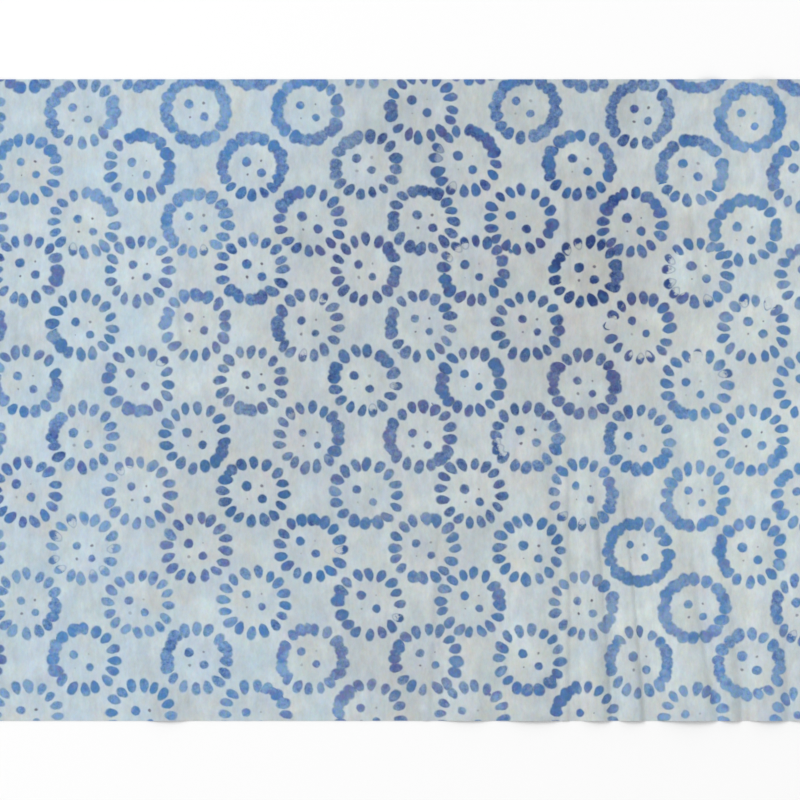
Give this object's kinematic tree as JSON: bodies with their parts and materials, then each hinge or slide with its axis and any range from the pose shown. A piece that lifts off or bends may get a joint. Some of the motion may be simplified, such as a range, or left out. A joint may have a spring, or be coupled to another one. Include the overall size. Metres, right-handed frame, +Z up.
{
  "type": "batik fabric cut length",
  "caption": "Cut length of stamped batik cotton lying on a surface in soft folds, with rings of blue petal dots on a pale ground.",
  "frame": {"origin": "middle of the underside, on the surface that the cloth lies on", "axes": "+X along the longer edge, +Y along the shorter edge towards the pattern's top, +Z up, away from the surface"},
  "size_m": [0.3, 0.2401, 0.0035],
  "materials": {
    "dyed_cotton": "matt plain-weave cotton, pale blue-grey ground with wax-resist blue dots"
  },
  "bodies": {
    "root": {"cloth": "dyed_cotton"}
  },
  "joints": []
}
